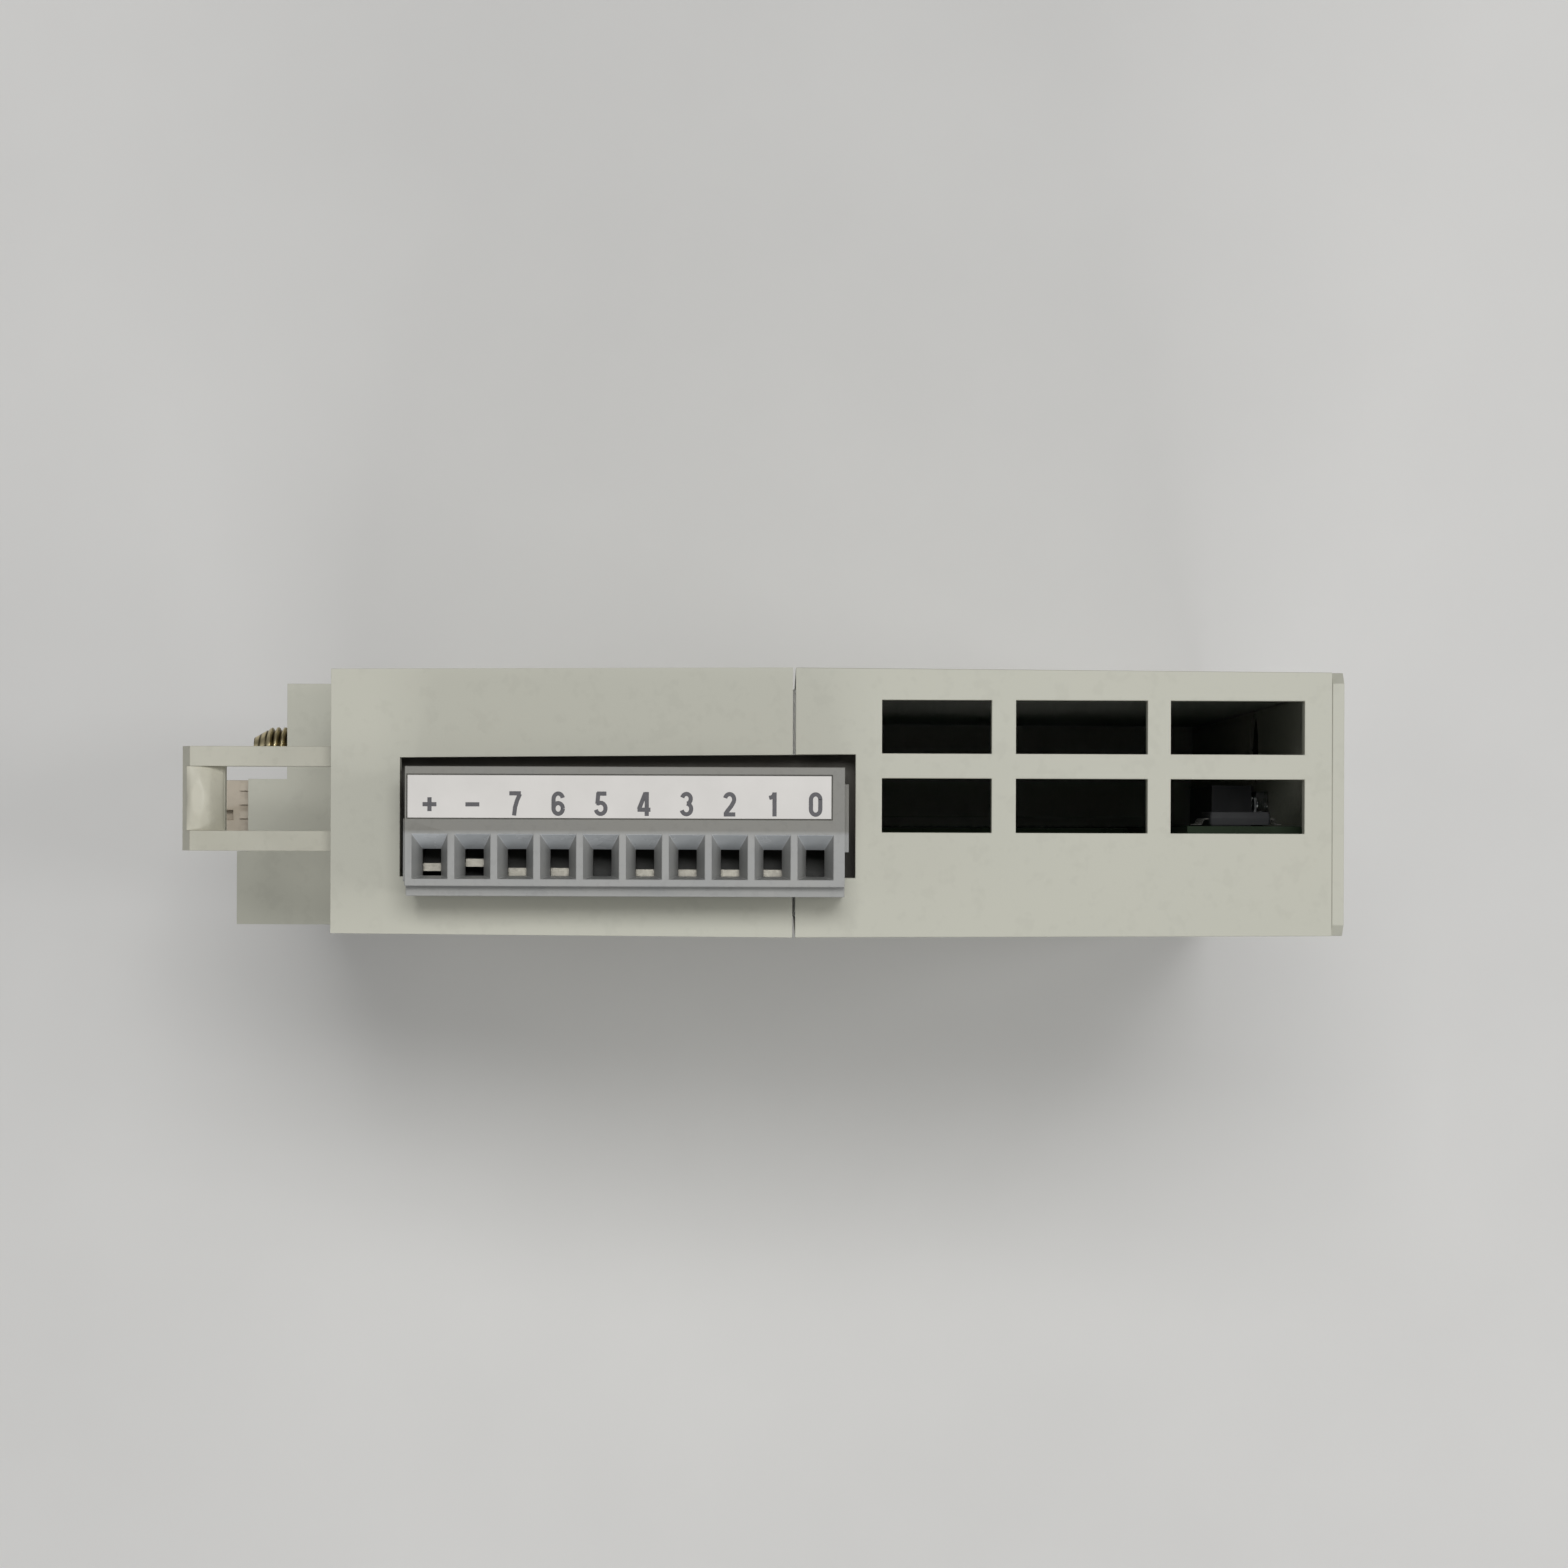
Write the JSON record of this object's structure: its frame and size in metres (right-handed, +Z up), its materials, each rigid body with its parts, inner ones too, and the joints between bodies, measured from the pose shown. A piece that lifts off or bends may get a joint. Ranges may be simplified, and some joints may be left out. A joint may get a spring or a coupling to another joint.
{
  "type": "plc module",
  "caption": "Upright slice-type controller input/output module with a pluggable screw terminal block, carrier hook and captive fixing screw.",
  "frame": {"origin": "bottom centre of the whole object's box", "axes": "+Z up through the terminal block, +X across the width, -Y out of the front panel"},
  "size_m": [0.0246, 0.1082, 0.124],
  "materials": {
    "housing_plastic": "fine matt moulded, light greenish grey",
    "hook_plastic": "smooth moulded, light grey",
    "plug_plastic": "fine matt moulded, mid grey",
    "header_plastic": "matt black",
    "connector_plastic": "tan, slightly glossy",
    "marker_white": "matt white with dark grey print",
    "clear_plastic": "clear, polished",
    "board_laminate": "green solder mask over glass-fibre laminate",
    "component_black": "matt black epoxy",
    "can_aluminium": "dark sleeved can",
    "plated_steel": "nickel plated, satin",
    "tinned_contact": "tinned copper alloy",
    "dark_brass": "yellow-chromated steel, dulled"
  },
  "bodies": {
    "root": {"rear_housing": "housing_plastic", "front_housing": "housing_plastic", "front_panel": "housing_plastic", "label_card": "marker_white", "label_cover": "clear_plastic", "led_light_guide": "clear_plastic", "circuit_board": "board_laminate", "bus_connector": "connector_plastic", "terminal_header": "header_plastic", "led_block": "component_black", "driver_chip": "component_black", "logic_chip": "component_black", "optocoupler_bank": "component_black", "capacitor": "can_aluminium", "header_pin_0": "tinned_contact", "header_pin_1": "tinned_contact", "header_pin_2": "tinned_contact", "header_pin_3": "tinned_contact", "header_pin_4": "tinned_contact", "header_pin_5": "tinned_contact", "header_pin_6": "tinned_contact", "header_pin_7": "tinned_contact", "header_pin_minus": "tinned_contact", "header_pin_plus": "tinned_contact"},
    "carrier_hook": {"carrier_hook": "hook_plastic"},
    "terminal_plug": {"terminal_plug": "plug_plastic", "marker_strip": "marker_white", "contact_0": "tinned_contact", "contact_1": "tinned_contact", "contact_2": "tinned_contact", "contact_3": "tinned_contact", "contact_4": "tinned_contact", "contact_5": "tinned_contact", "contact_6": "tinned_contact", "contact_7": "tinned_contact", "contact_minus": "tinned_contact", "contact_plus": "tinned_contact"},
    "retaining_ring": {"retaining_ring": "plated_steel"},
    "captive_screw": {"captive_screw": "dark_brass"},
    "terminal_screw_0": {"terminal_screw_0": "plated_steel"},
    "clamp_0": {"clamp_0": "plated_steel"},
    "terminal_screw_1": {"terminal_screw_1": "plated_steel"},
    "clamp_1": {"clamp_1": "plated_steel"},
    "terminal_screw_2": {"terminal_screw_2": "plated_steel"},
    "clamp_2": {"clamp_2": "plated_steel"},
    "terminal_screw_3": {"terminal_screw_3": "plated_steel"},
    "clamp_3": {"clamp_3": "plated_steel"},
    "terminal_screw_4": {"terminal_screw_4": "plated_steel"},
    "clamp_4": {"clamp_4": "plated_steel"},
    "terminal_screw_5": {"terminal_screw_5": "plated_steel"},
    "clamp_5": {"clamp_5": "plated_steel"},
    "terminal_screw_6": {"terminal_screw_6": "plated_steel"},
    "clamp_6": {"clamp_6": "plated_steel"},
    "terminal_screw_7": {"terminal_screw_7": "plated_steel"},
    "clamp_7": {"clamp_7": "plated_steel"},
    "terminal_screw_minus": {"terminal_screw_minus": "plated_steel"},
    "clamp_minus": {"clamp_minus": "plated_steel"},
    "terminal_screw_plus": {"terminal_screw_plus": "plated_steel"},
    "clamp_plus": {"clamp_plus": "plated_steel"}
  },
  "joints": [
    {"name": "plug_pull", "type": "slide", "parent": "root", "child": "terminal_plug", "axis": [0, 0, 1], "range_m": [0, 0.016]},
    {"name": "hook_flex", "type": "hinge", "parent": "root", "child": "carrier_hook", "pos_m": [0, 0.0346, 0.1091], "axis": [1, 0, 0], "range_deg": [-3.5, 3.5], "stiffness_Nm_per_rad": 2},
    {"name": "captive_slide", "type": "slide", "parent": "root", "child": "retaining_ring", "axis": [0, -1, 0], "range_m": [0, 0.0045]},
    {"name": "captive_spin", "type": "hinge", "parent": "retaining_ring", "child": "captive_screw", "pos_m": [0.0061, 0, 0.064], "axis": [0, -1, 0], "continuous": true},
    {"name": "clamp_rise_0", "type": "slide", "parent": "terminal_plug", "child": "clamp_0", "axis": [1, 0, 0], "range_m": [0, 0.0029]},
    {"name": "screw_turn_0", "type": "hinge", "parent": "terminal_plug", "child": "terminal_screw_0", "pos_m": [0, -0.0059, 0.1185], "axis": [-1, 0, 0], "range_deg": [-20, 2630]},
    {"name": "clamp_rise_1", "type": "slide", "parent": "terminal_plug", "child": "clamp_1", "axis": [1, 0, 0], "range_m": [-0.0007, 0.0022]},
    {"name": "screw_turn_1", "type": "hinge", "parent": "terminal_plug", "child": "terminal_screw_1", "pos_m": [0, -0.00209, 0.1185], "axis": [-1, 0, 0], "range_deg": [-650, 2000]},
    {"name": "clamp_rise_2", "type": "slide", "parent": "terminal_plug", "child": "clamp_2", "axis": [1, 0, 0], "range_m": [-0.0007, 0.0022]},
    {"name": "screw_turn_2", "type": "hinge", "parent": "terminal_plug", "child": "terminal_screw_2", "pos_m": [0, 0.00172, 0.1185], "axis": [-1, 0, 0], "range_deg": [-650, 2000]},
    {"name": "clamp_rise_3", "type": "slide", "parent": "terminal_plug", "child": "clamp_3", "axis": [1, 0, 0], "range_m": [-0.0007, 0.0022]},
    {"name": "screw_turn_3", "type": "hinge", "parent": "terminal_plug", "child": "terminal_screw_3", "pos_m": [0, 0.00553, 0.1185], "axis": [-1, 0, 0], "range_deg": [-650, 2000]},
    {"name": "clamp_rise_4", "type": "slide", "parent": "terminal_plug", "child": "clamp_4", "axis": [1, 0, 0], "range_m": [-0.0007, 0.0022]},
    {"name": "screw_turn_4", "type": "hinge", "parent": "terminal_plug", "child": "terminal_screw_4", "pos_m": [0, 0.00934, 0.1185], "axis": [-1, 0, 0], "range_deg": [-650, 2000]},
    {"name": "clamp_rise_5", "type": "slide", "parent": "terminal_plug", "child": "clamp_5", "axis": [1, 0, 0], "range_m": [0, 0.0029]},
    {"name": "screw_turn_5", "type": "hinge", "parent": "terminal_plug", "child": "terminal_screw_5", "pos_m": [0, 0.01315, 0.1185], "axis": [-1, 0, 0], "range_deg": [-20, 2630]},
    {"name": "clamp_rise_6", "type": "slide", "parent": "terminal_plug", "child": "clamp_6", "axis": [1, 0, 0], "range_m": [-0.0008, 0.0021]},
    {"name": "screw_turn_6", "type": "hinge", "parent": "terminal_plug", "child": "terminal_screw_6", "pos_m": [0, 0.01696, 0.1185], "axis": [-1, 0, 0], "range_deg": [-740, 1910]},
    {"name": "clamp_rise_7", "type": "slide", "parent": "terminal_plug", "child": "clamp_7", "axis": [1, 0, 0], "range_m": [-0.0008, 0.0021]},
    {"name": "screw_turn_7", "type": "hinge", "parent": "terminal_plug", "child": "terminal_screw_7", "pos_m": [0, 0.02077, 0.1185], "axis": [-1, 0, 0], "range_deg": [-740, 1910]},
    {"name": "clamp_rise_minus", "type": "slide", "parent": "terminal_plug", "child": "clamp_minus", "axis": [1, 0, 0], "range_m": [-0.0016, 0.0013]},
    {"name": "screw_turn_minus", "type": "hinge", "parent": "terminal_plug", "child": "terminal_screw_minus", "pos_m": [0, 0.02458, 0.1185], "axis": [-1, 0, 0], "range_deg": [-1460, 1190]},
    {"name": "clamp_rise_plus", "type": "slide", "parent": "terminal_plug", "child": "clamp_plus", "axis": [1, 0, 0], "range_m": [-0.0012, 0.0017]},
    {"name": "screw_turn_plus", "type": "hinge", "parent": "terminal_plug", "child": "terminal_screw_plus", "pos_m": [0, 0.02839, 0.1185], "axis": [-1, 0, 0], "range_deg": [-1100, 1550]}
  ],
  "couplings": [
    {"joint": "screw_turn_0", "follows": "clamp_rise_0", "rad_per_m": 15708},
    {"joint": "screw_turn_1", "follows": "clamp_rise_1", "rad_per_m": 15708},
    {"joint": "screw_turn_2", "follows": "clamp_rise_2", "rad_per_m": 15708},
    {"joint": "screw_turn_3", "follows": "clamp_rise_3", "rad_per_m": 15708},
    {"joint": "screw_turn_4", "follows": "clamp_rise_4", "rad_per_m": 15708},
    {"joint": "screw_turn_5", "follows": "clamp_rise_5", "rad_per_m": 15708},
    {"joint": "screw_turn_6", "follows": "clamp_rise_6", "rad_per_m": 15708},
    {"joint": "screw_turn_7", "follows": "clamp_rise_7", "rad_per_m": 15708},
    {"joint": "screw_turn_minus", "follows": "clamp_rise_minus", "rad_per_m": 15708},
    {"joint": "screw_turn_plus", "follows": "clamp_rise_plus", "rad_per_m": 15708}
  ]
}
